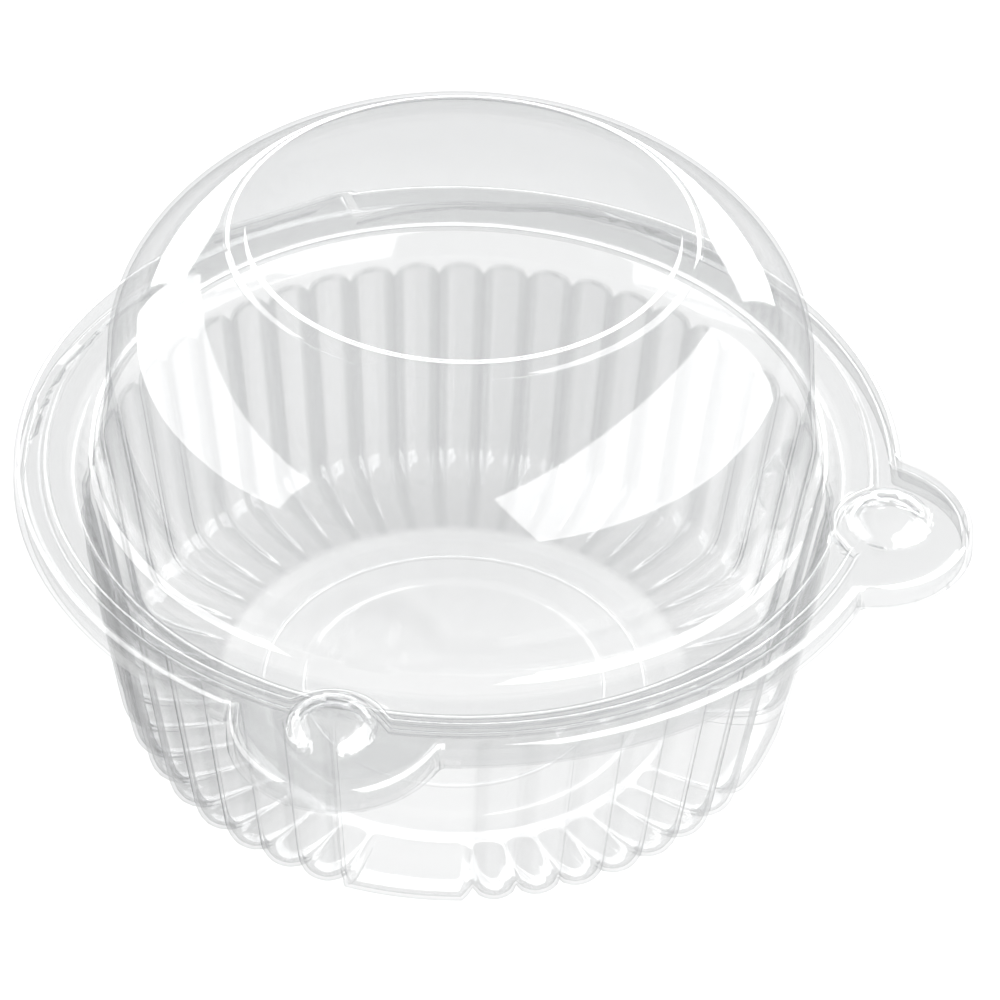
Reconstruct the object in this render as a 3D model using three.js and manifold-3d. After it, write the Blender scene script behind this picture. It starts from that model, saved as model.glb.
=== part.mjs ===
// A clear plastic cupcake box: a fluted cup and a domed lid, formed from one sheet
// and folded together at a short straight hinge, with two press buttons at the front.
// Millimetres, +Z up. The origin is under the middle of the floor, the hinge is at +Y,
// and the two button tabs are at the front left and front right.
import * as THREE from "three";
import { mergeVertices } from "three/addons/utils/BufferGeometryUtils.js";
import Module from "manifold-3d";

// Sheet
const sheet = 0.45; // thickness of the formed sheet
const nestGap = 0.3; // air between the lid and the cup where their rims nest

// Rim of the closed box
const rimRadius = 52; // outside of the lid's skirt
const rimTop = 38.8; // top of the lid's raised band
const bandWidth = 3.6; // raised band, from the skirt to its inner step
const bandStep = 0.9; // drop from the band to the ledge
const stepRun = 0.35; // slope of that step
const skirtDepth = 3.4; // from the top of the band to the edge of the lid's skirt
const skirtFlare = 0.15; // how far the skirt leans out
const edgeBend = 0.55; // size of the bend between the band and the skirt
const lipShow = 0.45; // how far the cup's skirt shows below the lid's

// Button tabs
const tabAngles = [-45, -135]; // degrees from +X
const tabInset = 3.1; // from the rim in to the middle of the tab's round end
const tabRadius = 12;
const tabFillet = 1.2; // softness of the corner between the tab and the rim
const buttonInset = 1; // from the rim in to the middle of the button
const buttonRadius = 5.1; // outside of the lid's button
const buttonHeight = 2.5; // above the band
const buttonWall = 0.35; // share of that height below the crown
const buttonMargin = 0.7; // raised band kept round the button

// Hinge
const hingeAngle = 90; // degrees from +X
const foldHalfLength = 11.4;
const foldGap = 0.2; // from each edge to the fold line
const foldLip = 1; // flat strip at the fold, in place of the skirt
const notchTurn = 0.8; // degrees beyond the fold where the cup's edge steps back
const reliefTurn = 25; // degrees from the hinge within which it steps back most
const skirtStart = 1.4; // degrees beyond the fold where the lid's skirt starts
const skirtFull = 2.8; // degrees beyond the fold where it has its full depth
const cupSkirtStart = 50; // degrees from the hinge where the cup's skirt starts
const cupSkirtFull = 62;
const swingClearance = 0.45; // room round the lid's skirt as it swings past the cup

// Cup
const mouthInset = 6.8; // from the rim in to the wall under the ledge
const fluteTopZ = 32.2; // crown of the flute arches
const fluteArch = 1.5; // how much lower the arch meets the rib beside it
const fluteEase = 1.3; // height over which a flute swells to its full depth
const fluteTopInset = 0.3; // from that wall in to the flutes
const fluteDraft = 3.5; // how much narrower the flutes are at their foot
const fluteFootZ = 7;
const fluteDepth = 1.25;
const fluteLean = 0.72; // share of the depth by which an arch has leant in at its crown
const fluteCount = 48;
const plainFlutes = 3; // flutes that each plain panel takes the place of
const plainPanels = [-127.5, -52.5]; // degrees from +X

// Floor
const discRadius = 18.3; // flat middle
const beadRun = 0.5; // slope on both sides of the raised ring
const beadOuter = 23.6;
const beadRise = 0.6;
const floorRadius = 26.5; // outer edge of the flat floor
const lobeRoot = 28.6; // where the lobes under the flutes start
const lobeRise = 0.7;
const lobeSag = 0.9; // how far a lobe hangs below the rib beside it
const lobeStations = [
  // shares of the lobe's run, of its rise and of the flute's depth
  [0.45, 0, 0],
  [0.78, 0.16, 0.5],
  [0.95, 0.47, 1],
];

// Dome
const footInset = 8.3; // from the rim in to where the dome rises from the ledge
const footBend = 1.3; // height of the bend there
const footLean = 0.6; // share of the bend's run at half of that height
const footRun = 2.1; // from there in to the foot of the wall
const wallDraft = 1.2; // how much narrower the wall is at its top
const shoulderZ = 53.1; // where the wall turns into the shoulder
const topRingRadius = 27.2; // outer edge of the ring round the top
const topRingBend = 1.2; // from there in to the ring's crown
const topRingWidth = 1.7; // from its outer crown to the edge of the flat top
const topRingSlope = 0.4; // share of that width that slopes down to the flat top
const topZ = 69.6;
const topRingDrop = 1.3; // from the top to the outer edge of the ring
const topSink = 0.35; // the flat top lies this much below its ring
const shoulderSpread = 1.25; // superellipse powers of the shoulder
const shoulderRise = 1.85;

// Facets
const stepsPerFlute = 4;
const shoulderSteps = 6;
const floorSides = 36;
const domeSides = 60;
const rimSides = 64;
const rimSpacing = 0.7; // least turn between two directions of the rim, in fine steps
const buttonSides = 16;
const buttonSteps = 4;

const DEG = Math.PI / 180;
const fineStep = 360 / (fluteCount * stepsPerFlute);
const foldY = Math.sqrt(rimRadius ** 2 - foldHalfLength ** 2);
const foldTurn = Math.asin(foldHalfLength / rimRadius) / DEG;
const bandUnder = rimTop - sheet;
const ledgeUnder = bandUnder - bandStep;
const tabCentre = rimRadius - tabInset;
const buttonCentre = rimRadius - buttonInset;
const mouthRadius = rimRadius - mouthInset;
const fluteTopRadius = mouthRadius - fluteTopInset;
const fluteFootRadius = fluteTopRadius - fluteDraft;
const footRadius = rimRadius - footInset;
const wallFootRadius = footRadius - footRun;
const wallRadius = wallFootRadius - wallDraft;
const topRingZ = topZ - topRingDrop;
const topEdgeRadius = topRingRadius - topRingBend;
const topRadius = topEdgeRadius - topRingWidth;

const wasm = await Module();
wasm.setup();

const mix = (a, b, t) => a + (b - a) * t;
const ease = (t) => {
  const c = THREE.MathUtils.clamp(t, 0, 1);
  return c * c * (3 - 2 * c);
};
const smoothMax = (a, b, k) => (a + b + Math.sqrt((a - b) ** 2 + k * k)) / 2;
const smoothMin = (a, b, k) => (a + b - Math.sqrt((a - b) ** 2 + k * k)) / 2;

// Smallest turn between two directions, in degrees.
function turnBetween(a, b) {
  const d = (((a - b) % 360) + 360) % 360;
  return d > 180 ? d - 360 : d;
}

const fromHinge = (angle) => Math.abs(turnBetween(angle, hingeAngle));

// Where the ray at this turn from a circle's direction meets the circle: +1 for its far
// side and -1 for its near side.
function circleReach(turn, centre, radius, side) {
  const across = centre * Math.sin(turn * DEG);
  const inside = radius ** 2 - across ** 2;
  if (inside <= 0 || Math.abs(turn) > 90) {
    return null;
  }
  return centre * Math.cos(turn * DEG) + side * Math.sqrt(inside);
}

// The rim's outline, drawn in by an inset: a circle with two round tabs and a straight
// edge at the hinge.
function outline(angle, inset) {
  let reach = rimRadius - inset;
  for (const tab of tabAngles) {
    const turn = turnBetween(angle, tab);
    const far = circleReach(turn, tabCentre, tabRadius - inset, 1);
    if (far !== null) {
      reach = smoothMax(reach, far, tabFillet);
    }
  }
  return reach;
}

const foldReach = (angle) => (foldY - foldGap) / Math.cos(fromHinge(angle) * DEG);

// The inner edge of the raised band, which passes inside the buttons.
function bandInner(angle) {
  let reach = rimRadius - bandWidth;
  for (const tab of tabAngles) {
    const turn = turnBetween(angle, tab);
    const radius = buttonRadius + buttonMargin;
    const near = circleReach(turn, buttonCentre, radius, -1);
    if (near !== null) {
      reach = smoothMin(reach, near, tabFillet);
    }
  }
  return reach;
}

// A line of [r, z] points moved to its left by a distance, with mitred corners.
function offsetLine(line, distance) {
  const leftOf = (a, b) => {
    const dr = b[0] - a[0];
    const dz = b[1] - a[1];
    const length = Math.hypot(dr, dz);
    return [-dz / length, dr / length];
  };
  return line.map((point, i) => {
    const before = leftOf(line[Math.max(i - 1, 0)], line[Math.max(i, 1)]);
    const last = line.length - 1;
    const after = leftOf(line[Math.min(i, last - 1)], line[Math.min(i + 1, last)]);
    const share = 1 + before[0] * after[0] + before[1] * after[1];
    const r = i === 0 ? point[0] : point[0] + (distance * (before[0] + after[0])) / share;
    return [r, point[1] + (distance * (before[1] + after[1])) / share];
  });
}

// The band's outer edge and skirt. turned is 1 where the skirt hangs down and 0 where it
// lies flat as the strip that runs to the fold.
function edgeLine(reach, z, depth, turned) {
  return [
    [reach - mix(foldLip, edgeBend, turned), z],
    [reach - mix(foldLip / 2, skirtFlare, turned), z - edgeBend * turned],
    [reach, z - depth * turned],
  ];
}

// Underside of the lid's rim, from the ledge's inner edge out to the skirt.
function lidRim(angle) {
  const turned = ease((fromHinge(angle) - foldTurn - skirtStart) / (skirtFull - skirtStart));
  const free = outline(angle, sheet);
  const atFold = fromHinge(angle) < foldTurn + skirtStart;
  const reach = atFold ? Math.min(free, foldReach(angle)) : free;
  const inner = bandInner(angle);
  return [
    [footRadius, ledgeUnder],
    [inner - stepRun, ledgeUnder],
    [inner, bandUnder],
    ...edgeLine(reach, bandUnder, skirtDepth - sheet, turned),
  ];
}

// True beyond the first or the second direction at which the edge steps back from the fold.
const beyondNotch = (turn, step) => turn > foldTurn + ((step - 0.5) * notchTurn) / 2;

// How far the lid's skirt swings in over the cup's edge while the lid opens.
function swingIn(angle) {
  const turn = fromHinge(angle);
  const y = (rimRadius - sheet) * Math.cos(turn * DEG);
  const arm = Math.max(foldY - y, 0);
  const swing = Math.hypot(arm, skirtDepth) - arm;
  return Math.max(swing + swingClearance - nestGap, 0) * Math.cos(turn * DEG);
}

// Underside of the cup's rim: the lid's, one sheet and one gap lower. Beside the hinge its
// edge steps back so that the skirt can pass, and it stays low where the band has no room.
function cupRim(angle) {
  const drop = nestGap + sheet;
  const turn = fromHinge(angle);
  const turned = ease((turn - cupSkirtStart) / (cupSkirtFull - cupSkirtStart));
  const inner = bandInner(angle) + drop;
  const low = ledgeUnder - drop;
  const z = bandUnder - drop;
  const relief = turn < cupSkirtFull ? swingIn(angle) : 0;
  const free = outline(angle, sheet + drop) - relief;
  const reach = beyondNotch(turn, 2) ? free : foldReach(angle);
  const edge = edgeLine(reach, z, skirtDepth - sheet - drop + lipShow, turned);
  const rim = [[mouthRadius, low], [inner - stepRun, low], [inner, z], ...edge];
  const besideFold = beyondNotch(turn, 1) && turn < cupSkirtStart;
  if (!besideFold || (relief < foldLip / 2 && turn > foldTurn + notchTurn)) {
    return rim;
  }
  const last = rim.length - 1;
  return rim.map(([r], i) => [i === 0 ? r : Math.min(r, reach - (last - i) * stepRun), low]);
}

// 1 on the crown of a flute and on a plain panel, 0 on the rib between two flutes.
function fluteShape(angle) {
  const pitch = 360 / fluteCount;
  for (const panel of plainPanels) {
    if (Math.abs(turnBetween(angle, panel)) < (plainFlutes * pitch) / 2 - fineStep / 2) {
      return 1;
    }
  }
  const across = Math.cos((Math.PI * turnBetween(angle, 0)) / pitch);
  return Math.sqrt(Math.abs(across));
}

// Underside and outside of the cup at one direction, from the middle of the floor to the
// edge of its skirt.
function cupLine(angle) {
  const rib = 1 - fluteShape(angle);
  const slope = (fluteTopRadius - fluteFootRadius) / (fluteTopZ - fluteFootZ);
  const fullZ = fluteTopZ - fluteEase;
  const wall = (z) => fluteFootRadius + slope * (z - fluteFootZ) - fluteDepth * rib;
  const footZ = fluteFootZ + lobeSag * rib;
  const lobe = lobeStations.map(([run, rise, depth]) => [
    mix(lobeRoot, fluteFootRadius, run) - fluteDepth * rib * depth,
    mix(lobeRise, footZ, rise) + lobeSag * rib,
  ]);
  const topInner = fluteTopRadius - fluteDepth;
  return [
    [0, 0],
    [discRadius, 0],
    [discRadius + beadRun, beadRise],
    [beadOuter - beadRun, beadRise],
    [beadOuter, 0],
    [floorRadius, 0],
    [lobeRoot, lobeRise],
    ...lobe,
    [wall(footZ), footZ],
    [wall(fullZ - fluteArch), fullZ - fluteArch * rib],
    [mix(wall(fluteTopZ), topInner, fluteLean), fluteTopZ - fluteArch * rib],
    [topInner, fluteTopZ + fluteEase / 2],
    ...cupRim(angle),
  ];
}

// Inside of the lid at one direction, from the middle of the top to the edge of its skirt.
function lidLine(angle) {
  const line = [
    [0, topZ - topSink - sheet],
    [topRadius, topZ - topSink - sheet],
    [mix(topRadius, topEdgeRadius, topRingSlope), topZ - sheet],
    [topEdgeRadius, topZ - sheet],
  ];
  for (let i = shoulderSteps; i >= 0; i--) {
    const t = (i / shoulderSteps) * (Math.PI / 2);
    const out = Math.cos(t) ** (2 / shoulderSpread);
    const up = Math.sin(t) ** (2 / shoulderRise);
    line.push([mix(topRingRadius, wallRadius, out) - sheet, mix(shoulderZ, topRingZ, up)]);
  }
  const wallFoot = wallFootRadius - sheet;
  line.push([wallFoot, ledgeUnder + footBend * 2]);
  line.push([mix(footRadius, wallFoot, footLean), ledgeUnder + footBend / 2]);
  line.push(...lidRim(angle));
  return line;
}

// Evenly spaced directions, from 0.
const evenAngles = (count) => Array.from({ length: count }, (_, i) => (360 * i) / count);

// Directions for the rim: coarse, finer along the tabs and beside the hinge, and exact at
// the ends of the fold.
function rimAngleList() {
  const notch = [foldTurn + notchTurn / 2, foldTurn + notchTurn];
  const exact = [0, foldTurn, ...notch, foldTurn + skirtStart, foldTurn + skirtFull];
  const kept = exact.flatMap((turn) => [hingeAngle + turn, hingeAngle - turn]);
  const tabTurn = Math.asin(tabRadius / tabCentre) / DEG;
  const add = (angle) => {
    const a = ((angle % 360) + 360) % 360;
    if (kept.every((k) => Math.abs(turnBetween(k, a)) > fineStep / 4)) {
      kept.push(a);
    }
  };
  add(0);
  for (const tab of tabAngles) {
    for (const side of [-1, 1]) {
      for (let turn = 0; turn < tabTurn + fineStep; turn += fineStep) {
        add(tab + side * turn);
      }
    }
  }
  for (let turn = foldTurn + skirtFull + fineStep; turn < reliefTurn; turn += fineStep) {
    add(hingeAngle + turn);
    add(hingeAngle - turn);
  }
  for (const angle of evenAngles(rimSides)) {
    if (kept.every((k) => Math.abs(turnBetween(k, angle)) > fineStep * rimSpacing)) {
      kept.push(angle);
    }
  }
  const sorted = kept.map((a) => ((a % 360) + 360) % 360).sort((a, b) => a - b);
  return sorted.filter((a, i) => i === 0 || a - sorted[i - 1] > 1e-6);
}

// A closed sheet. line(angle) gives its lower face as [r, z] points from the axis to the
// outer edge, and lists gives the directions at which each of those points is set out.
function sheetSolid(line, lists) {
  const positions = [];
  const faces = [];
  const ring = (i, upper) =>
    lists[i].map((angle) => {
      const lower = line(angle);
      const [r, z] = (upper ? offsetLine(lower, sheet) : lower)[i];
      positions.push(r * Math.cos(angle * DEG), r * Math.sin(angle * DEG), z);
      return positions.length / 3 - 1;
    });
  // Joins two rings with triangles, each turning on to whichever ring comes next.
  const join = (inner, innerAngles, outer, outerAngles, up) => {
    const put = (a, b, c) => faces.push(...(up ? [a, b, c] : [a, c, b]));
    const n = inner.length;
    const m = outer.length;
    let i = 0;
    let j = 0;
    while (i < n || j < m) {
      const nextInner = n === 1 ? Infinity : i < n - 1 ? innerAngles[i + 1] : 360 + innerAngles[0];
      const nextOuter = j < m - 1 ? outerAngles[j + 1] : 360 + outerAngles[0];
      if (j < m && (nextOuter <= nextInner || i >= n)) {
        put(inner[i % n], outer[j % m], outer[(j + 1) % m]);
        j++;
        if (n === 1 && j === m) {
          break;
        }
      } else {
        put(inner[i % n], outer[j % m], inner[(i + 1) % n]);
        i++;
      }
    }
  };
  const skins = [false, true].map((upper) => {
    const rings = lists.map((_, i) => ring(i, upper));
    for (let i = 0; i < rings.length - 1; i++) {
      join(rings[i], lists[i], rings[i + 1], lists[i + 1], upper);
    }
    return rings;
  });
  const last = lists.length - 1;
  join(skins[1][last], lists[last], skins[0][last], lists[last], true);
  const geometry = new THREE.BufferGeometry();
  geometry.setAttribute("position", new THREE.Float32BufferAttribute(positions, 3));
  geometry.setIndex(faces);
  return geometry;
}

function toSolid(geometry) {
  const bare = geometry.clone();
  bare.deleteAttribute("normal");
  bare.deleteAttribute("uv");
  const merged = mergeVertices(bare, 1e-4);
  return new wasm.Manifold(
    new wasm.Mesh({
      numProp: 3,
      vertProperties: merged.attributes.position.array,
      triVerts: new Uint32Array(merged.index.array),
    }),
  );
}

function toGeometry(solid) {
  const mesh = solid.getMesh();
  const geometry = new THREE.BufferGeometry();
  geometry.setAttribute("position", new THREE.BufferAttribute(mesh.vertProperties, 3));
  geometry.setIndex(new THREE.BufferAttribute(mesh.triVerts, 1));
  geometry.computeVertexNormals();
  return geometry;
}

// Turns a [r, z] profile about the middle of a button.
function turned(profile, angle) {
  const points = profile.map(([r, z]) => new THREE.Vector2(r, z));
  const geometry = new THREE.LatheGeometry(points, buttonSides);
  geometry.rotateX(Math.PI / 2);
  const x = buttonCentre * Math.cos(angle * DEG);
  const y = buttonCentre * Math.sin(angle * DEG);
  geometry.translate(x, y, 0);
  return toSolid(geometry);
}

// A hollow button: a short wall under a rounded crown. Its foot ends inside the sheet.
function buttonProfile(radius, bandTop) {
  const wallTop = bandTop + buttonHeight * buttonWall;
  const crown = (r, top) =>
    Array.from({ length: buttonSteps + 1 }, (_, i) => {
      const t = (i / buttonSteps) * (Math.PI / 2);
      return [i === buttonSteps ? 0 : r * Math.cos(t), mix(wallTop, top, Math.sin(t))];
    });
  const footZ = bandTop - sheet / 2;
  const outer = crown(radius, bandTop + buttonHeight);
  const inner = crown(radius - sheet, bandTop + buttonHeight - sheet);
  return [...inner.reverse(), [radius - sheet, footZ], [radius, footZ], ...outer];
}

// Presses both buttons into a rim: the flat is cut away under each and the cap joined on.
function withButtons(geometry, radius, bandTop) {
  let solid = toSolid(geometry);
  for (const angle of tabAngles) {
    const hole = radius - sheet / 2;
    const cutter = [
      [0, bandTop - sheet * 2],
      [hole, bandTop - sheet * 2],
      [hole, bandTop + sheet],
      [0, bandTop + sheet],
    ];
    solid = solid.subtract(turned(cutter, angle));
    solid = solid.add(turned(buttonProfile(radius, bandTop), angle));
  }
  return toGeometry(solid);
}

const rimAngles = rimAngleList();
const floorAngles = evenAngles(floorSides);
const fluteAngles = evenAngles(fluteCount * stepsPerFlute);
const domeAngles = evenAngles(domeSides);
const centre = [0];

function cup() {
  const rings = cupLine(0).length;
  const rimRings = cupRim(0).length;
  const floorRings = 5; // rings of the flat floor and its raised ring
  const lists = Array.from({ length: rings }, (_, i) => {
    if (i === 0) {
      return centre;
    }
    if (i <= floorRings) {
      return floorAngles;
    }
    return i < rings - rimRings ? fluteAngles : rimAngles;
  });
  const drop = nestGap + sheet;
  return withButtons(sheetSolid(cupLine, lists), buttonRadius - drop, rimTop - drop);
}

function lid() {
  const rings = lidLine(0).length;
  const rimRings = lidRim(0).length;
  const lists = Array.from({ length: rings }, (_, i) => {
    if (i === 0) {
      return centre;
    }
    return i < rings - rimRings ? domeAngles : rimAngles;
  });
  return withButtons(sheetSolid(lidLine, lists), buttonRadius, rimTop);
}

const clearPlastic = () =>
  new THREE.MeshStandardMaterial({
    color: 0xf1f3f4,
    roughness: 0.06,
    metalness: 0,
    transparent: true,
    opacity: 0.35,
  });

const box = new THREE.Group();
const pieces = { fluted_cup: cup(), domed_lid: lid() };
for (const [name, geometry] of Object.entries(pieces)) {
  const mesh = new THREE.Mesh(geometry, clearPlastic());
  mesh.name = name;
  box.add(mesh);
}

export default box;
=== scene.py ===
# A clear plastic cupcake box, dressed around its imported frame: the cup and the lid are set
# out again as fine smooth sheets, and a thin strip bridges the fold between them.
import math

import bpy
import numpy as np
from mathutils import Matrix, Vector

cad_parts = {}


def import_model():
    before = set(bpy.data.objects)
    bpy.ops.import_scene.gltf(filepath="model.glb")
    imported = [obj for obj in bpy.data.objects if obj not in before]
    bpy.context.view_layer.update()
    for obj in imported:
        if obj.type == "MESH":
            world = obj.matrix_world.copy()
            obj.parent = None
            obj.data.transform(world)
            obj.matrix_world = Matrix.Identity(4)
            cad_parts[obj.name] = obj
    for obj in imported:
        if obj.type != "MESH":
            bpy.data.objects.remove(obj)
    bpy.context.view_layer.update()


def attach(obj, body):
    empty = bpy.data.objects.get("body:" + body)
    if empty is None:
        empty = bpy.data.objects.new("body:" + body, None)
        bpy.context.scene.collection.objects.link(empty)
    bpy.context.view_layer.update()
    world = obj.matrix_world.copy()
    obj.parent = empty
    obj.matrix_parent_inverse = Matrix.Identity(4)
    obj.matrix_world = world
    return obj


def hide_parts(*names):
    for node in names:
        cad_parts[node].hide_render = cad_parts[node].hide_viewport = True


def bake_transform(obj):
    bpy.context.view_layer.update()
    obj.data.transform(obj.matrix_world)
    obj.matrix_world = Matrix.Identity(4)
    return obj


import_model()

MM = 0.001

# Sheet and clearances, in millimetres
SHEET = 0.45
NEST_GAP = 0.3
DROP = SHEET + NEST_GAP

# Rim
RIM_RADIUS = 52.0
RIM_TOP = 38.8
BAND_WIDTH = 3.6
BAND_STEP = 0.9
STEP_RUN = 0.35
SKIRT_DEPTH = 3.4
SKIRT_FLARE = 0.15
EDGE_BEND = 0.55
LIP_SHOW = 0.45
BAND_UNDER = RIM_TOP - SHEET
LEDGE_UNDER = BAND_UNDER - BAND_STEP

# Tabs and buttons
TAB_ANGLES = (-45.0, -135.0)
TAB_CENTRE = 48.9
TAB_RADIUS = 12.0
TAB_FILLET = 1.2
BUTTON_CENTRE = 51.0
BUTTON_RADIUS = 5.1
BUTTON_HEIGHT = 2.5
BUTTON_MARGIN = 0.7
BUTTON_SPREAD = 3.2  # powers that shape a button from its flat middle to its steep side
BUTTON_ROUND = 0.62
CREASE_DEPTH = 0.2
CREASE_WIDTH = 0.3
CREASES = 5
CREASE_START = 0.25  # share of the radius from which a crease is whole

# Hinge
HINGE_ANGLE = 90.0
FOLD_HALF = 11.4
FOLD_GAP = 0.2
FOLD_LIP = 1.0
NOTCH_TURN = 0.8
SKIRT_START = 1.4
SKIRT_FULL = 2.8
CUP_SKIRT_START = 50.0
CUP_SKIRT_FULL = 62.0
SWING_CLEARANCE = 0.45
RELIEF_SLIGHT = 0.35  # how far the cup's edge steps back where its band starts to sink
RELIEF_FULL = 0.6
RELIEF_FADE = 4.0
FOLD_Y = math.sqrt(RIM_RADIUS**2 - FOLD_HALF**2)
FOLD_TURN = math.degrees(math.asin(FOLD_HALF / RIM_RADIUS))
CUP_FOLD_END = FOLD_TURN + NOTCH_TURN * 0.75  # the cup's edge is straight up to here
CUP_LOW_START = FOLD_TURN + NOTCH_TURN / 4  # its band is sunk from here
FOLD_FILM = 0.2
FOLD_STEPS = 8
FOLD_ENDS = (FOLD_Y - FOLD_GAP - FOLD_FILM / 2, BAND_UNDER - NEST_GAP, BAND_UNDER)  # y, z and z

# Cup
MOUTH_RADIUS = 45.2
FLUTE_TOP_Z = 32.2
FLUTE_ARCH = 1.5
FLUTE_EASE = 1.3
FLUTE_TOP_RADIUS = 44.9
FLUTE_FOOT_RADIUS = 41.4
FLUTE_FOOT_Z = 7.0
FLUTE_DEPTH = 1.25
FLUTE_COUNT = 48
PLAIN_FLUTES = 3
PLAIN_PANELS = (-127.5, -52.5)
PANEL_EDGE = 0.125  # part of a flute that a plain panel gives up at each side
DISC_RADIUS = 18.3
BEAD_RUN = 0.5
BEAD_OUTER = 23.6
BEAD_RISE = 0.6
FLOOR_RADIUS = 26.5
LOBE_ROOT = 28.6
LOBE_RISE = 0.7
LOBE_SAG = 0.9
# Under a lobe, from the floor to the wall: share of the run, of the flute's depth, of the rise
LOBE_STATIONS = ((0.45, 0.0, 0.0), (0.78, 0.5, 0.16), (0.95, 1.0, 0.47))
LOBE_BEND = 9.0
ARCH_BEND = 1.2
ARCH_LEAN = 0.72
RIM_BEND = 0.3

# Dome
FOOT_RADIUS = 43.7
FOOT_BEND = 1.3
WALL_FOOT_RADIUS = 41.6
WALL_RADIUS = 40.4
SHOULDER_Z = 53.1
TOP_RING_RADIUS = 27.2
TOP_RING_Z = 68.3
TOP_EDGE_RADIUS = 26.0
TOP_RADIUS = 24.3
TOP_Z = 69.6
TOP_SINK = 0.35
SHOULDER_SPREAD = 1.25
SHOULDER_RISE = 1.85

# Facets
STEPS_PER_FLUTE = 8
DOME_STEP = 1.875
CUP_TAB_STEP = 0.375
LID_TAB_STEP = 0.25
CLOSEST = 0.3  # of a tab step, between two directions
SHOULDER_STEPS = 22
BEND_STEPS = 3
BAND_ROWS = 28
CUP_BAND_ROWS = 14
SOFTEST = 0.46  # most of a stretch that a bend may take
FLATNESS = 60  # how far the larger faces set the shading, of 100


def mix(a, b, t):
    return a + (b - a) * t


def ease(t):
    c = min(max(t, 0.0), 1.0)
    return c * c * (3 - 2 * c)


def turn_between(a, b):
    return (a - b + 180.0) % 360.0 - 180.0


def from_hinge(angle):
    return abs(turn_between(angle, HINGE_ANGLE))


def circle_reach(turn, centre, radius, side):
    """Where the ray at this turn from a circle's direction meets its far or near side."""
    across = centre * math.sin(math.radians(turn))
    inside = radius**2 - across**2
    if inside <= 0 or abs(turn) > 90:
        return None
    return centre * math.cos(math.radians(turn)) + side * math.sqrt(inside)


def outline(angle, inset):
    """The rim's outline, drawn in by an inset: a circle with two round tabs."""
    reach = RIM_RADIUS - inset
    for tab in TAB_ANGLES:
        far = circle_reach(turn_between(angle, tab), TAB_CENTRE, TAB_RADIUS - inset, 1)
        if far is not None:
            reach = (reach + far + math.hypot(reach - far, TAB_FILLET)) / 2
    return reach


def fold_reach(angle):
    return (FOLD_Y - FOLD_GAP) / math.cos(math.radians(from_hinge(angle)))


def band_inner(angle):
    """The inner edge of the raised band, which passes inside the buttons."""
    reach = RIM_RADIUS - BAND_WIDTH
    for tab in TAB_ANGLES:
        turn = turn_between(angle, tab)
        near = circle_reach(turn, BUTTON_CENTRE, BUTTON_RADIUS + BUTTON_MARGIN, -1)
        if near is not None:
            reach = (reach + near - math.hypot(reach - near, TAB_FILLET)) / 2
    return reach


def edge_line(reach, z, depth, turned):
    """The band's outer edge and skirt, which lies flat towards the fold as turned goes to 0."""
    return [
        (reach - mix(FOLD_LIP, EDGE_BEND, turned), z),
        (reach - mix(FOLD_LIP / 2, SKIRT_FLARE, turned), z - EDGE_BEND * turned),
        (reach, z - depth * turned),
    ]


def lid_rim(angle):
    turn = from_hinge(angle)
    turned = ease((turn - FOLD_TURN - SKIRT_START) / (SKIRT_FULL - SKIRT_START))
    reach = outline(angle, SHEET)
    if turn < FOLD_TURN + SKIRT_START:
        reach = min(reach, fold_reach(angle))
    inner = band_inner(angle)
    return [
        (FOOT_RADIUS, LEDGE_UNDER),
        (inner - STEP_RUN, LEDGE_UNDER),
        (inner, BAND_UNDER),
        *edge_line(reach, BAND_UNDER, SKIRT_DEPTH - SHEET, turned),
    ]


def swing_in(angle):
    """How far the lid's skirt swings in over the cup's edge while the lid opens."""
    turn = math.radians(from_hinge(angle))
    arm = max(FOLD_Y - (RIM_RADIUS - SHEET) * math.cos(turn), 0.0)
    swing = math.hypot(arm, SKIRT_DEPTH) - arm
    return max(swing + SWING_CLEARANCE - NEST_GAP, 0.0) * math.cos(turn)


def cup_rim(angle):
    turn = from_hinge(angle)
    turned = ease((turn - CUP_SKIRT_START) / (CUP_SKIRT_FULL - CUP_SKIRT_START))
    inner = band_inner(angle) + DROP
    low = LEDGE_UNDER - DROP
    z = BAND_UNDER - DROP
    relief = swing_in(angle) * (1 - ease((turn - CUP_SKIRT_FULL) / RELIEF_FADE))
    reach = outline(angle, SHEET + DROP) - relief
    if turn < CUP_FOLD_END:
        reach = fold_reach(angle)
    edge = edge_line(reach, z, SKIRT_DEPTH - SHEET - DROP + LIP_SHOW, turned)
    rim = [(MOUTH_RADIUS, low), (inner - STEP_RUN, low), (inner, z), *edge]
    if not CUP_LOW_START < turn < CUP_SKIRT_START:
        return rim
    last = len(rim) - 1
    flat = [(min(r, reach - (last - i) * STEP_RUN), low) for i, (r, _) in enumerate(rim)]
    lowered = ease((relief - RELIEF_SLIGHT) / (RELIEF_FULL - RELIEF_SLIGHT))
    for i in range(1, len(rim)):
        rim[i] = tuple(mix(a, b, lowered) for a, b in zip(rim[i], flat[i]))
    return rim


def flute_shape(angle):
    """1 on the crown of a flute and on a plain panel, 0 on the rib between two flutes."""
    pitch = 360.0 / FLUTE_COUNT
    for panel in PLAIN_PANELS:
        if abs(turn_between(angle, panel)) < PLAIN_FLUTES * pitch / 2 - pitch * PANEL_EDGE:
            return 1.0
    return math.sqrt(abs(math.cos(math.pi * angle / pitch)))


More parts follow.
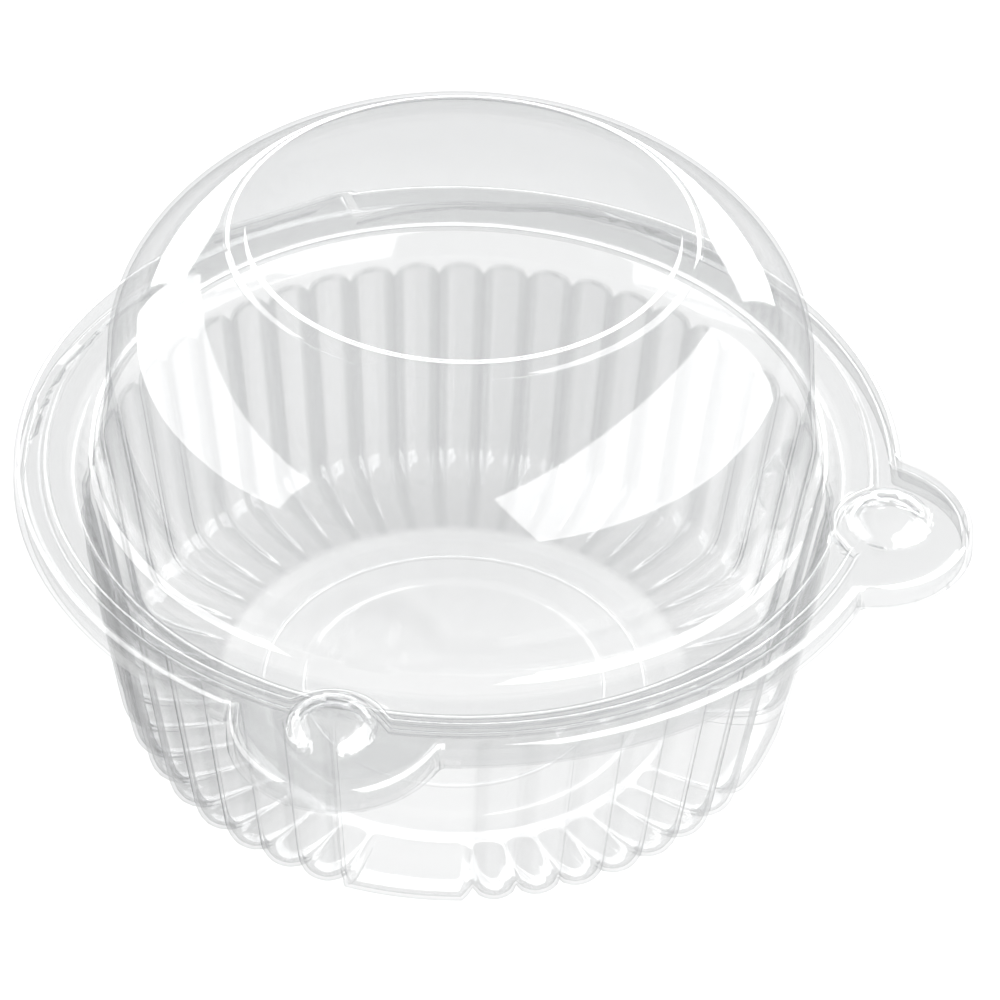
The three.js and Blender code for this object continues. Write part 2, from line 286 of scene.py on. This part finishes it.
def cup_line(angle):
    """Underside and outside of the cup at one direction, as (r, z) corners and bend sizes."""
    rib = 1 - flute_shape(angle)
    slope = (FLUTE_TOP_RADIUS - FLUTE_FOOT_RADIUS) / (FLUTE_TOP_Z - FLUTE_FOOT_Z)
    full_z = FLUTE_TOP_Z - FLUTE_EASE
    foot_z = FLUTE_FOOT_Z + LOBE_SAG * rib

    def wall(z):
        return FLUTE_FOOT_RADIUS + slope * (z - FLUTE_FOOT_Z) - FLUTE_DEPTH * rib

    def under(share, deep, up):
        r = mix(LOBE_ROOT, FLUTE_FOOT_RADIUS, share) - FLUTE_DEPTH * rib * deep
        return (r, mix(LOBE_RISE, foot_z, up) + LOBE_SAG * rib)

    inner_top = FLUTE_TOP_RADIUS - FLUTE_DEPTH
    arch_reach = mix(wall(FLUTE_TOP_Z), inner_top, ARCH_LEAN)
    corners = [
        (0.0, 0.0, 0.0),
        (DISC_RADIUS, 0.0, RIM_BEND),
        (DISC_RADIUS + BEAD_RUN, BEAD_RISE, RIM_BEND),
        (BEAD_OUTER - BEAD_RUN, BEAD_RISE, RIM_BEND),
        (BEAD_OUTER, 0.0, RIM_BEND),
        (FLOOR_RADIUS, 0.0, 0.8),
        (LOBE_ROOT, LOBE_RISE, 2.0),
        *((*under(*station), LOBE_BEND) for station in LOBE_STATIONS),
        (wall(foot_z), foot_z, LOBE_BEND),
        (wall(full_z - FLUTE_ARCH), full_z - FLUTE_ARCH * rib, ARCH_BEND),
        (arch_reach, FLUTE_TOP_Z - FLUTE_ARCH * rib, ARCH_BEND),
        (inner_top, FLUTE_TOP_Z + FLUTE_EASE / 2, 0.8),
    ]
    bends = (0.9, *(RIM_BEND,) * 4, 0.0)
    return corners + [(r, z, bend) for (r, z), bend in zip(cup_rim(angle), bends)]


def lid_line(angle):
    """Inside of the lid at one direction, as (r, z) corners and bend sizes."""
    corners = [
        (0.0, TOP_Z - TOP_SINK - SHEET, 0.0),
        (TOP_RADIUS, TOP_Z - TOP_SINK - SHEET, 0.4),
        (mix(TOP_RADIUS, TOP_EDGE_RADIUS, 0.4), TOP_Z - SHEET, 0.4),
        (TOP_EDGE_RADIUS, TOP_Z - SHEET, 1.2),
    ]
    for i in range(SHOULDER_STEPS, -1, -1):
        t = i / SHOULDER_STEPS * math.pi / 2
        out = math.cos(t) ** (2 / SHOULDER_SPREAD)
        up = math.sin(t) ** (2 / SHOULDER_RISE)
        r = mix(TOP_RING_RADIUS, WALL_RADIUS, out) - SHEET
        bend = 0.8 if i == SHOULDER_STEPS else 0.0
        corners.append((r, mix(SHOULDER_Z, TOP_RING_Z, up), bend))
    wall_foot = WALL_FOOT_RADIUS - SHEET
    corners.append((wall_foot, LEDGE_UNDER + FOOT_BEND * 2, 2.0))
    corners.append((mix(FOOT_RADIUS, wall_foot, 0.6), LEDGE_UNDER + FOOT_BEND / 2, 1.0))
    bends = (1.0, *(RIM_BEND,) * 4, 0.0)
    return corners + [(r, z, bend) for (r, z), bend in zip(lid_rim(angle), bends)]


# Thickness and painted shade, 0 to 1, kept on each point and darkening the clear plastic. Part is
# the formed sheet's thickness; the rest is painted shade: a dark band on each rib between flutes,
# greyer sides, a clearer front, and a greyer dome and rim.
THICKNESS_AND_SHADE_ATTRIBUTE = "thickness"
CUP_SHADE_AND_THICKNESS = {
    "floor": 0.03, "lobe": 0.4, "crown": 0.34, "rib": 1.0, "panel": 0.0, "mouth": 0.03, "rim": 0.2
}
LID_SHADE_AND_THICKNESS = {"dome": 0.75, "foot": 0.05, "rim": 0.45}
SIDE_PAINTED_SHADE = 0.2  # painted shade: what is added to the cup's wall between its hinge and its sides, making the sides darker
FRONT_PAINTED_LIGHT = 0.26  # painted light: the value of the cup's wall at the front, as a share of that at the hinge, so the front shows clearer
FRONT_FROM = 85.0  # degrees from the hinge between which it falls to that
FRONT_TO = 135.0
LOBE_RIB = 0.45  # the same at a rib between two lobes, of that between two flutes
RIB_EDGE = (0.25, 0.55)  # |cos| across a flute where the sheet goes from thick and painted dark to thin and clear


def cup_shade_and_thickness(angle, r, z):
    """0 where the sheet is thin and clear and 1 where it is thick and painted darkest; the value
    holds thickness and painted shade.
    """
    part = CUP_SHADE_AND_THICKNESS
    if z > FLUTE_TOP_Z - FLUTE_ARCH:
        crown = FLUTE_TOP_Z - FLUTE_ARCH * (1 - flute_shape(angle))
        if z > crown:
            return part["rim"] if r > MOUTH_RADIUS + DROP else part["mouth"]
    if r < LOBE_ROOT:
        return part["floor"]
    for panel in PLAIN_PANELS:
        if abs(turn_between(angle, panel)) < PLAIN_FLUTES * 180.0 / FLUTE_COUNT:
            return part["panel"]
    # Painted shade: a dark band along each rib between two flutes, standing in for the dark lines
    # that light bent by the flutes makes.
    across = abs(math.cos(math.pi * angle * FLUTE_COUNT / 360.0))
    band = 1 - ease((across - RIB_EDGE[0]) / (RIB_EDGE[1] - RIB_EDGE[0]))
    grown = ease((z - LOBE_RISE) / (FLUTE_FOOT_Z - LOBE_RISE))
    plain = mix(part["lobe"], part["crown"], grown)
    turn = from_hinge(angle)
    if turn < 90.0:
        # painted shade on the wall's sides, greatest halfway between the hinge and the front
        plain += SIDE_PAINTED_SHADE * grown * math.sin(math.radians(turn * 2)) ** 2
    wall = mix(plain, part["rib"], band * mix(LOBE_RIB, 1.0, grown))
    # painted light: the wall grows clearer towards the front
    return wall * mix(1.0, FRONT_PAINTED_LIGHT, ease((turn - FRONT_FROM) / (FRONT_TO - FRONT_FROM)))


def lid_shade_and_thickness(angle, r, z):
    # Partly painted shade: the dome greys from its foot up to its shoulder, and the rim is greyer
    # than the foot.
    part = LID_SHADE_AND_THICKNESS
    if r > FOOT_RADIUS:
        return part["rim"]
    return mix(part["foot"], part["dome"], ease((z - LEDGE_UNDER) / (SHOULDER_Z - LEDGE_UNDER)))


def bent(corners, band_rows):
    """Rounds each corner with a bend, and divides the band, its third stretch from the end."""
    points = [corners[0][:2]]
    last = len(corners) - 1
    for i in range(1, last):
        here = Vector(corners[i][:2])
        size = corners[i][2]
        if i == last - 2:
            start = Vector(points[-1])
            reach = here - start
            end = here - reach.normalized() * min(size, reach.length * SOFTEST)
            points += [tuple(start.lerp(end, k / band_rows)) for k in range(1, band_rows)]
        if size == 0.0:
            points.append(tuple(here))
            continue
        back = Vector(corners[i - 1][:2]) - here
        ahead = Vector(corners[i + 1][:2]) - here
        a = here + back.normalized() * min(size, back.length * SOFTEST)
        b = here + ahead.normalized() * min(size, ahead.length * SOFTEST)
        for k in range(BEND_STEPS + 1):
            t = k / BEND_STEPS
            points.append(tuple(a.lerp(here, t).lerp(here.lerp(b, t), t)))
    points.append(corners[last][:2])
    return points


def direction_list(step, tab_step):
    """Directions for a sheet: even, finer along the tabs, and exact at the ends of the fold."""
    turns = (FOLD_TURN, NOTCH_TURN / 2, NOTCH_TURN, SKIRT_START, SKIRT_FULL)
    kept = []
    for i, turn in enumerate(turns):
        exact = turn if i == 0 else FOLD_TURN + turn
        kept += [HINGE_ANGLE + exact, HINGE_ANGLE - exact]
    tab_turn = math.degrees(math.asin(TAB_RADIUS / TAB_CENTRE)) + step
    for tab in TAB_ANGLES:
        count = int(tab_turn / tab_step)
        kept += [(tab + i * tab_step) % 360 for i in range(-count, count + 1)]
    even = [i * step for i in range(round(360 / step))]
    fixed = np.array(kept)
    least = CLOSEST * tab_step
    apart = [a for a in even if np.min(np.abs((fixed - a + 180) % 360 - 180)) > least]
    return sorted(kept + apart)


def button_rise(x, y, radius, height):
    """Height of the pressed buttons over the band at a point."""
    rise = 0.0
    for tab in TAB_ANGLES:
        cx = BUTTON_CENTRE * math.cos(math.radians(tab))
        cy = BUTTON_CENTRE * math.sin(math.radians(tab))
        d = math.hypot(x - cx, y - cy) / radius
        if d >= 1.0:
            continue
        crown = (1 - d**BUTTON_SPREAD) ** BUTTON_ROUND
        turn = math.atan2(y - cy, x - cx) - math.radians(tab)
        off_line = abs(math.sin(CREASES * turn / 2)) * d * radius * 2 / CREASES
        crease = math.exp(-((off_line / CREASE_WIDTH) ** 2)) * (1 - d**2)
        crease *= ease(d / CREASE_START)
        rise = height * crown - CREASE_DEPTH * crease
    return rise


def sheet_mesh(name, line, thickness, angles, band_rows, radius, band_z):
    """One formed sheet: its lower face set out round the axis, thickened to the upper side."""
    grid = []
    thickness_with_shade = []
    for angle in angles:
        a = math.radians(angle)
        column = []
        thickness_with_shade.append([])
        for r, z in bent(line(angle), band_rows):
            # the value of thickness and painted shade, kept for the plastic
            thickness_with_shade[-1].append(thickness(angle, r, z))
            x = r * math.cos(a)
            y = r * math.sin(a)
            if abs(z - band_z) < EDGE_BEND:
                z += button_rise(x, y, radius, BUTTON_HEIGHT)
            column.append((x * MM, y * MM, z * MM))
        grid.append(column)
    rows = len(grid[0])
    verts = [grid[0][0]]
    for column in grid:
        verts += column[1:]
    faces = []
    count = len(angles)
    for i in range(count):
        here = 1 + i * (rows - 1)
        there = 1 + ((i + 1) % count) * (rows - 1)
        faces.append((0, here, there))
        for k in range(rows - 2):
            faces.append((here + k, here + k + 1, there + k + 1, there + k))
    mesh = bpy.data.meshes.new(name)
    mesh.from_pydata(verts, [], faces)
    mesh.update()
    mesh.shade_smooth()
    values = [thickness_with_shade[0][0]] + [value for column in thickness_with_shade for value in column[1:]]
    layer = mesh.attributes.new(THICKNESS_AND_SHADE_ATTRIBUTE, "FLOAT", "POINT")
    layer.data.foreach_set("value", values)
    piece = bpy.data.objects.new(name, mesh)
    bpy.context.scene.collection.objects.link(piece)
    thick = piece.modifiers.new("sheet", "SOLIDIFY")
    thick.thickness = SHEET * MM
    thick.offset = 1.0
    flats = piece.modifiers.new("flats", "WEIGHTED_NORMAL")
    flats.weight = FLATNESS
    return piece


def fold_strip():
    """The thin film between the two flat edges at the hinge, set as a flat strip."""
    y, low, high = FOLD_ENDS
    verts = []
    faces = []
    for k in range(FOLD_STEPS + 1):
        z = mix(low, high, k / FOLD_STEPS)
        verts += [(x * MM, y * MM, z * MM) for x in (-FOLD_HALF, FOLD_HALF)]
        if k > 0:
            faces.append((2 * k - 2, 2 * k - 1, 2 * k + 1, 2 * k))
    mesh = bpy.data.meshes.new("fold_strip")
    mesh.from_pydata(verts, [], faces)
    mesh.shade_smooth()
    piece = bpy.data.objects.new("fold_strip", mesh)
    bpy.context.scene.collection.objects.link(piece)
    thick = piece.modifiers.new("film", "SOLIDIFY")
    thick.thickness = FOLD_FILM * MM
    thick.offset = 0.0
    return piece


def sums(tree, operation, a, b):
    """A Math node's output; a and b are numbers or sockets."""
    made = tree.nodes.new("ShaderNodeMath")
    made.operation = operation
    for socket, value in zip(made.inputs, (a, b)):
        if isinstance(value, (int, float)):
            socket.default_value = value
        else:
            tree.links.new(value, socket)
    return made.outputs[0]


def noise(tree, place, scale, detail):
    made = tree.nodes.new("ShaderNodeTexNoise")
    made.inputs["Scale"].default_value = scale
    made.inputs["Detail"].default_value = detail
    tree.links.new(place, made.inputs["Vector"])
    return made.outputs["Fac"]


def ranged(tree, value, low, high):
    made = tree.nodes.new("ShaderNodeMapRange")
    made.inputs["To Min"].default_value = low
    made.inputs["To Max"].default_value = high
    tree.links.new(value, made.inputs["Value"])
    return made.outputs["Result"]


def mixed(tree, share, a, b):
    """A mix of two colours, each a plain colour or a socket."""
    made = tree.nodes.new("ShaderNodeMix")
    made.data_type = "RGBA"
    tree.links.new(share, made.inputs["Factor"])
    ends = [socket for socket in made.inputs if socket.type == "RGBA"]
    for socket, value in zip(ends, (a, b)):
        if isinstance(value, tuple):
            socket.default_value = (*value, 1.0)
        else:
            tree.links.new(value, socket)
    return next(socket for socket in made.outputs if socket.type == "RGBA")


def clear_plastic(name, thin, thick, steep, power, haze):
    """Clear formed sheet: it passes most light, takes more where the sheet is thick and where
    it carries painted shade, and more at a slant, and mirrors as plastic does. Faint waves and
    fine dust break up its gloss."""
    mat = bpy.data.materials.new(name)
    mat.use_nodes = True
    tree = mat.node_tree
    tree.nodes.clear()
    link = tree.links.new
    place = tree.nodes.new("ShaderNodeTexCoord").outputs["Object"]
    slant = tree.nodes.new("ShaderNodeLayerWeight")
    slant.inputs["Blend"].default_value = 0.5
    slanted = slant.outputs["Facing"]
    side = tree.nodes.new("ShaderNodeNewGeometry")
    path = tree.nodes.new("ShaderNodeLightPath")
    plain = sums(tree, "MAXIMUM", side.outputs["Backfacing"], path.outputs["Is Shadow Ray"])
    outer = sums(tree, "SUBTRACT", 1.0, plain)

    # The value of thickness and painted shade darkens what the sheet passes: the thick colour also
    # holds painted shade, namely the ribs' dark bands, greyer sides and greyer dome.
    thickness_with_shade = tree.nodes.new("ShaderNodeAttribute")
    thickness_with_shade.attribute_name = THICKNESS_AND_SHADE_ATTRIBUTE
    square_on = mixed(tree, thickness_with_shade.outputs["Fac"], thin, thick)
    film = tree.nodes.new("ShaderNodeBsdfTransparent")
    darkening_reach = sums(tree, "MULTIPLY", thickness_with_shade.outputs["Fac"], SLANT_GROWTH)
    at_slant = mixed(tree, sums(tree, "MINIMUM", darkening_reach, 1.0), THIN_STEEP, steep)
    passed = mixed(tree, sums(tree, "POWER", slanted, power), square_on, at_slant)
    link(passed, film.inputs["Color"])

    dust = noise(tree, place, DUST_SCALE, 1.0)
    body = tree.nodes.new("ShaderNodeBsdfDiffuse")
    body.inputs["Color"].default_value = (*DUST_COLOR, 1.0)
    dusty = tree.nodes.new("ShaderNodeMixShader")
    link(sums(tree, "MULTIPLY", outer, haze), dusty.inputs["Fac"])
    link(film.outputs[0], dusty.inputs[1])
    link(body.outputs[0], dusty.inputs[2])

    bump = tree.nodes.new("ShaderNodeBump")
    bump.inputs["Strength"].default_value = WAVE_STRENGTH
    bump.inputs["Distance"].default_value = WAVE_HEIGHT
    link(noise(tree, place, WAVE_SCALE, 0.0), bump.inputs["Height"])
    gloss = tree.nodes.new("ShaderNodeBsdfGlossy")
    gloss.inputs["Color"].default_value = (1.0, 1.0, 1.0, 1.0)
    link(ranged(tree, dust, *GLOSS_ROUGHNESS), gloss.inputs["Roughness"])
    link(bump.outputs["Normal"], gloss.inputs["Normal"])
    mirrored = sums(tree, "MULTIPLY", sums(tree, "POWER", slanted, 5.0), 1 - HEAD_ON)
    mirrored = sums(tree, "ADD", mirrored, HEAD_ON)
    mirrored = sums(tree, "MINIMUM", sums(tree, "MULTIPLY", mirrored, BOTH_FACES), MOST_MIRRORED)
    skin = tree.nodes.new("ShaderNodeMixShader")
    link(sums(tree, "MULTIPLY", mirrored, outer), skin.inputs["Fac"])
    link(dusty.outputs[0], skin.inputs[1])
    link(gloss.outputs[0], skin.inputs[2])
    out = tree.nodes.new("ShaderNodeOutputMaterial")
    link(skin.outputs[0], out.inputs["Surface"])
    return mat


# Clear plastic: light passed by one face where the sheet is thin, where it is thick and painted
# with shade, and seen at a slant
CUP_THIN = (0.978, 0.979, 0.979)
CUP_THICK_AND_SHADED = (0.77, 0.773, 0.776)
CUP_STEEP = (0.68, 0.685, 0.69)
CUP_POWER = 2.5
THIN_STEEP = (0.8, 0.803, 0.806)  # either sheet where it is thinnest, seen at a slant
SLANT_GROWTH = 2.0  # how fast it goes from there to the full value
CUP_HAZE = 0.04
LID_THIN = (0.978, 0.979, 0.979)
LID_THICK_AND_SHADED = (0.89, 0.893, 0.895)
LID_STEEP = (0.7, 0.705, 0.71)
LID_POWER = 5.0
LID_HAZE = 0.025
HEAD_ON = 0.04  # mirrored by a face seen square on
BOTH_FACES = 1.9  # the sheet's outer face mirrors for its inner face too
MOST_MIRRORED = 0.22
GLOSS_ROUGHNESS = (0.02, 0.09)
WAVE_SCALE = 70.0
WAVE_STRENGTH = 0.25
WAVE_HEIGHT = 0.0004
DUST_SCALE = 900.0
DUST_COLOR = (0.85, 0.85, 0.85)


def dress():
    """Makes the pieces, gives them their plastic and hangs them on the frame."""
    cup_plastic = clear_plastic("cup_plastic", CUP_THIN, CUP_THICK_AND_SHADED, CUP_STEEP, CUP_POWER, CUP_HAZE)
    lid_plastic = clear_plastic("lid_plastic", LID_THIN, LID_THICK_AND_SHADED, LID_STEEP, LID_POWER, LID_HAZE)
    cup_step = 360.0 / (FLUTE_COUNT * STEPS_PER_FLUTE)
    cup = sheet_mesh(
        "cup_sheet", cup_line, cup_shade_and_thickness, direction_list(cup_step, CUP_TAB_STEP),
        CUP_BAND_ROWS, BUTTON_RADIUS - DROP - SHEET, BAND_UNDER - DROP,
    )
    lid = sheet_mesh(
        "lid_sheet", lid_line, lid_shade_and_thickness, direction_list(DOME_STEP, LID_TAB_STEP),
        BAND_ROWS, BUTTON_RADIUS - SHEET, BAND_UNDER,
    )
    strip = fold_strip()
    for piece, material in ((cup, cup_plastic), (lid, lid_plastic), (strip, lid_plastic)):
        piece.data.materials.append(material)
    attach(cup, "cup")
    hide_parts("fluted_cup")
    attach(lid, "lid")
    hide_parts("domed_lid")
    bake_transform(strip)


def seen(tree):
    """1 for rays that show the background: the camera's, mirrored ones and those through
    clear plastic; 0 for light that falls on things."""
    path = tree.nodes.new("ShaderNodeLightPath")
    either = sums(tree, "MAXIMUM", path.outputs["Is Camera Ray"], path.outputs["Is Glossy Ray"])
    return sums(tree, "MAXIMUM", either, path.outputs["Is Transmission Ray"])


FLOOR_SIZE = 6.0
FLOOR_COLOR = (0.22, 0.22, 0.22)
FLOOR_GLOW = 0.86
FLOOR_DROP = 0.2  # below the cup, in millimetres
WORLD_LIGHT = 0.45


def floor():
    """A wide pale floor, white to the camera, which keeps the box's soft shadow."""
    mesh = bpy.data.meshes.new("floor")
    square = ((-1, -1), (1, -1), (1, 1), (-1, 1))
    corners = [(x * FLOOR_SIZE, y * FLOOR_SIZE, 0) for x, y in square]
    mesh.from_pydata(corners, [], [(0, 1, 2, 3)])
    ground = bpy.data.objects.new("floor", mesh)
    ground.location.z = -FLOOR_DROP * MM
    bpy.context.scene.collection.objects.link(ground)
    mat = bpy.data.materials.new("floor")
    mat.use_nodes = True
    tree = mat.node_tree
    tree.nodes.clear()
    matt = tree.nodes.new("ShaderNodeBsdfDiffuse")
    matt.inputs["Color"].default_value = (*FLOOR_COLOR, 1.0)
    glow = tree.nodes.new("ShaderNodeEmission")
    tree.links.new(sums(tree, "MULTIPLY", seen(tree), FLOOR_GLOW), glow.inputs["Strength"])
    both = tree.nodes.new("ShaderNodeAddShader")
    out = tree.nodes.new("ShaderNodeOutputMaterial")
    tree.links.new(matt.outputs[0], both.inputs[0])
    tree.links.new(glow.outputs[0], both.inputs[1])
    tree.links.new(both.outputs[0], out.inputs["Surface"])
    mesh.materials.append(mat)


def world():
    """White to the camera; a plain grey room as light."""
    sky = bpy.data.worlds.new("studio")
    bpy.context.scene.world = sky
    sky.use_nodes = True
    tree = sky.node_tree
    tree.nodes.clear()
    back = tree.nodes.new("ShaderNodeBackground")
    tree.links.new(ranged(tree, seen(tree), WORLD_LIGHT, 1.0), back.inputs["Strength"])
    out = tree.nodes.new("ShaderNodeOutputWorld")
    tree.links.new(back.outputs[0], out.inputs["Surface"])


# Camera: its direction from the box, and where the box lies in the picture
CAMERA_TURN = -31.0
CAMERA_RISE = 39.85
CAMERA_ROLL = -1.72
CAMERA_DISTANCE = 9.03 * RIM_RADIUS
CAMERA_RIGHT = 0.093 * RIM_RADIUS
CAMERA_UP = -0.086 * RIM_RADIUS
LENS_SHARE = 4.0  # focal length over picture width
SENSOR = 36.0
NEAREST = 0.01


def direction(turn, rise):
    """The way to a point at this turn from the front and this rise, in degrees."""
    a = math.radians(turn)
    e = math.radians(rise)
    return Vector((math.sin(a) * math.cos(e), -math.cos(a) * math.cos(e), math.sin(e)))


def camera():
    turn = math.radians(CAMERA_TURN)
    right = Vector((math.cos(turn), math.sin(turn), 0))
    back = direction(CAMERA_TURN, CAMERA_RISE)
    up = back.cross(right)
    roll = math.radians(CAMERA_ROLL)
    across = right * math.cos(roll) - up * math.sin(roll)
    upward = right * math.sin(roll) + up * math.cos(roll)
    aim = Vector((0, 0, RIM_TOP - SKIRT_DEPTH))
    place = aim + across * CAMERA_RIGHT + upward * CAMERA_UP + back * CAMERA_DISTANCE
    data = bpy.data.cameras.new("camera")
    data.sensor_width = SENSOR
    data.lens = LENS_SHARE * SENSOR
    data.clip_start = NEAREST
    eye = bpy.data.objects.new("camera", data)
    facing = Matrix((across, upward, back)).transposed().to_4x4()
    eye.matrix_world = Matrix.Translation(place * MM) @ facing
    bpy.context.scene.collection.objects.link(eye)
    bpy.context.scene.camera = eye


LAMP_AIM = 50.0  # height of the point on the axis that the lamps face


def softbox(name, turn, rise, distance, width, height, watts):
    """A soft lamp in a direction counted from the camera's, aimed at the dome."""
    way = direction(CAMERA_TURN + turn, rise)
    data = bpy.data.lights.new(name, "AREA")
    data.shape = "RECTANGLE"
    data.size = width
    data.size_y = height
    data.energy = watts
    lamp = bpy.data.objects.new(name, data)
    aim = Vector((0, 0, LAMP_AIM * MM))
    lamp.location = aim + way * distance
    lamp.rotation_euler = way.to_track_quat("Z", "Y").to_euler()
    bpy.context.scene.collection.objects.link(lamp)


def lights():
    # name, turn from the camera, rise, distance, width, height, watts
    softbox("right_softbox", 67, 22, 0.62, 1.3, 0.62, 10.0)
    softbox("left_softbox", -90, 15, 0.62, 1.05, 0.4, 4.4)
    softbox("back_softbox", 180, 15, 0.9, 1.9, 0.38, 10.0)


dress()
floor()
world()
camera()
lights()
bpy.context.scene.view_settings.view_transform = "Standard"
bpy.context.scene.cycles.max_bounces = 2
bpy.context.scene.cycles.glossy_bounces = 1
bpy.context.scene.cycles.diffuse_bounces = 1
bpy.context.scene.cycles.transparent_max_bounces = 32
bpy.context.scene.cycles.use_light_tree = False  # slow, and not needed for three lamps
